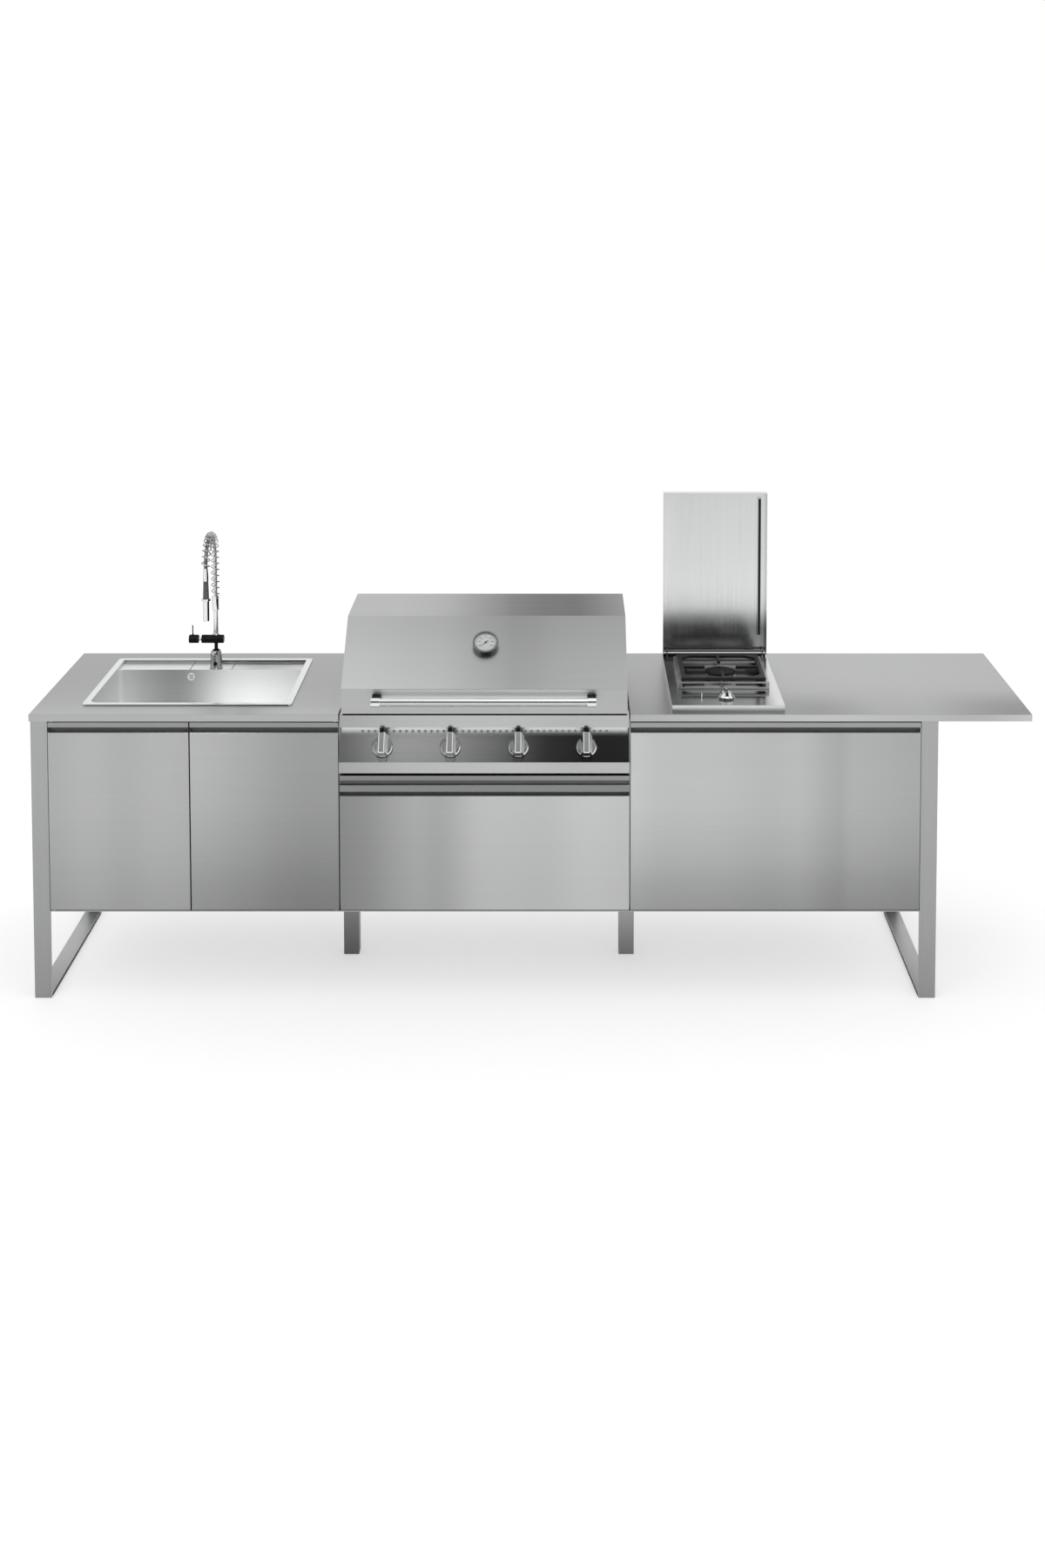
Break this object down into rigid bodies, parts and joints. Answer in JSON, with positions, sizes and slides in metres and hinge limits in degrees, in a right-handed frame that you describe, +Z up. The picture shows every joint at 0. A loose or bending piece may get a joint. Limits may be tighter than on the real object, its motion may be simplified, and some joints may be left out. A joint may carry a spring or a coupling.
{
  "type": "outdoor kitchen island",
  "caption": "Long stainless steel outdoor kitchen with a sink and spring tap, a hooded gas grill, a lidded gas hob and a bar end, over cabinets with doors and drawers.",
  "frame": {"origin": "on the floor, under the middle of the overall box", "axes": "+X along the worktop towards the bar end, +Y from the front to the back, +Z up"},
  "size_m": [3.096, 0.762, 1.478],
  "materials": {
    "brushed": "stainless steel with a fine level grain",
    "polished": "satin stainless steel, finer and brighter",
    "inner": "plain rolled stainless steel",
    "chrome": "polished",
    "black": "black, semi-gloss",
    "grip": "dark grey, fine texture",
    "iron": "black enamelled",
    "plastic": "light grey waste pipe plastic",
    "glass": "clear",
    "needle": "black paint"
  },
  "bodies": {
    "island": {"left_side_frame": "brushed", "right_side_frame": "brushed", "left_middle_leg": "brushed", "right_middle_leg": "brushed", "left_worktop": "brushed", "right_worktop": "brushed", "rear_worktop_strip": "brushed", "sink_cabinet": "brushed", "sink_basin": "polished", "sink_strainer": "chrome", "sink_trap": "plastic", "tap_base": "chrome", "tap_mixer": "black", "grill_cabinet": "brushed", "grill_drawer_left_runner": "inner", "grill_drawer_right_runner": "inner", "firebox": "inner", "burner_rail": "inner", "control_fascia": "polished", "left_cooking_grate": "iron", "right_cooking_grate": "iron", "hob_cabinet": "brushed", "hob_drawer_left_runner": "inner", "hob_drawer_right_runner": "inner", "hob_pan": "polished", "hob_burner": "inner", "hob_burner_cap": "black", "hob_grate": "iron", "hob_grate_stand": "brushed", "lid_hinge_pin": "inner"},
    "left_door": {"left_door": "brushed"},
    "right_door": {"right_door": "brushed"},
    "grill_drawer": {"grill_drawer_front": "brushed", "grill_drawer_box": "inner"},
    "hob_drawer": {"hob_drawer_front": "brushed", "hob_drawer_box": "inner"},
    "drip_tray": {"drip_tray": "brushed"},
    "hood": {"hood": "brushed", "hood_handle": "chrome", "thermometer_case": "chrome", "thermometer_lens": "glass"},
    "thermometer_needle": {"thermometer_needle": "needle"},
    "hob_stem": {"hob_valve_stem": "inner"},
    "hob_knob": {"hob_knob": "chrome"},
    "hob_lid": {"hob_lid": "polished"},
    "tap_spout": {"tap_riser": "chrome", "tap_spring": "chrome", "tap_hose": "black", "spray_grip": "grip", "spray_nozzle": "chrome"},
    "tap_lever": {"tap_lever": "black"},
    "stem_1": {"valve_stem_1": "inner"},
    "knob_1": {"knob_1": "chrome"},
    "stem_2": {"valve_stem_2": "inner"},
    "knob_2": {"knob_2": "chrome"},
    "stem_3": {"valve_stem_3": "inner"},
    "knob_3": {"knob_3": "chrome"},
    "stem_4": {"valve_stem_4": "inner"},
    "knob_4": {"knob_4": "chrome"}
  },
  "joints": [
    {"name": "left_door_hinge", "type": "hinge", "parent": "island", "child": "left_door", "pos_m": [-1.48, -0.309, 0.575], "axis": [0, 0, -1], "range_deg": [0, 90]},
    {"name": "right_door_hinge", "type": "hinge", "parent": "island", "child": "right_door", "pos_m": [-0.604, -0.309, 0.575], "axis": [0, 0, 1], "range_deg": [0, 90]},
    {"name": "grill_drawer_slide", "type": "slide", "parent": "island", "child": "grill_drawer", "axis": [0, -1, 0], "range_m": [0, 0.45]},
    {"name": "hob_drawer_slide", "type": "slide", "parent": "island", "child": "hob_drawer", "axis": [0, -1, 0], "range_m": [0, 0.45]},
    {"name": "drip_tray_slide", "type": "slide", "parent": "island", "child": "drip_tray", "axis": [0, -1, 0], "range_m": [0, 0.38]},
    {"name": "hood_hinge", "type": "hinge", "parent": "island", "child": "hood", "pos_m": [-0.142, 0.2, 0.912], "axis": [-1, 0, 0], "range_deg": [0, 80]},
    {"name": "thermometer_needle_pivot", "type": "hinge", "parent": "hood", "child": "thermometer_needle", "pos_m": [-0.142, -0.19007, 1.08213], "axis": [0, -0.6366, 0.7712], "range_deg": [-240, 0]},
    {"name": "hob_lid_hinge", "type": "hinge", "parent": "island", "child": "hob_lid", "pos_m": [0.614, 0.275, 0.937], "axis": [1, 0, 0], "range_deg": [0, 90]},
    {"name": "tap_swivel", "type": "hinge", "parent": "island", "child": "tap_spout", "pos_m": [-1.063, 0.22, 1.05], "axis": [0, 0, 1], "range_deg": [-110, 110]},
    {"name": "tap_lever_turn", "type": "hinge", "parent": "island", "child": "tap_lever", "pos_m": [-1.12, 0.22, 0.9933], "axis": [1, 0, 0], "range_deg": [0, 90]},
    {"name": "hob_knob_push", "type": "slide", "parent": "island", "child": "hob_stem", "axis": [0, 0, -1], "range_m": [0, 0.003], "stiffness_N_per_m": 1500, "springref_m": -0.004},
    {"name": "hob_knob_turn", "type": "hinge", "parent": "hob_stem", "child": "hob_knob", "pos_m": [0.614, -0.215, 0.94], "axis": [0, 0, 1], "range_deg": [0, 210]},
    {"name": "knob_1_push", "type": "slide", "parent": "island", "child": "stem_1", "axis": [0, 0.8143, -0.5805], "range_m": [0, 0.003], "stiffness_N_per_m": 1500, "springref_m": -0.004},
    {"name": "knob_1_turn", "type": "hinge", "parent": "stem_1", "child": "knob_1", "pos_m": [-0.457, -0.3147, 0.7953], "axis": [0, -0.8143, 0.5805], "range_deg": [0, 210]},
    {"name": "knob_2_push", "type": "slide", "parent": "island", "child": "stem_2", "axis": [0, 0.8143, -0.5805], "range_m": [0, 0.003], "stiffness_N_per_m": 1500, "springref_m": -0.004},
    {"name": "knob_2_turn", "type": "hinge", "parent": "stem_2", "child": "knob_2", "pos_m": [-0.247, -0.3147, 0.7953], "axis": [0, -0.8143, 0.5805], "range_deg": [0, 210]},
    {"name": "knob_3_push", "type": "slide", "parent": "island", "child": "stem_3", "axis": [0, 0.8143, -0.5805], "range_m": [0, 0.003], "stiffness_N_per_m": 1500, "springref_m": -0.004},
    {"name": "knob_3_turn", "type": "hinge", "parent": "stem_3", "child": "knob_3", "pos_m": [-0.037, -0.3147, 0.7953], "axis": [0, -0.8143, 0.5805], "range_deg": [0, 210]},
    {"name": "knob_4_push", "type": "slide", "parent": "island", "child": "stem_4", "axis": [0, 0.8143, -0.5805], "range_m": [0, 0.003], "stiffness_N_per_m": 1500, "springref_m": -0.004},
    {"name": "knob_4_turn", "type": "hinge", "parent": "stem_4", "child": "knob_4", "pos_m": [0.173, -0.3147, 0.7953], "axis": [0, -0.8143, 0.5805], "range_deg": [0, 210]}
  ]
}
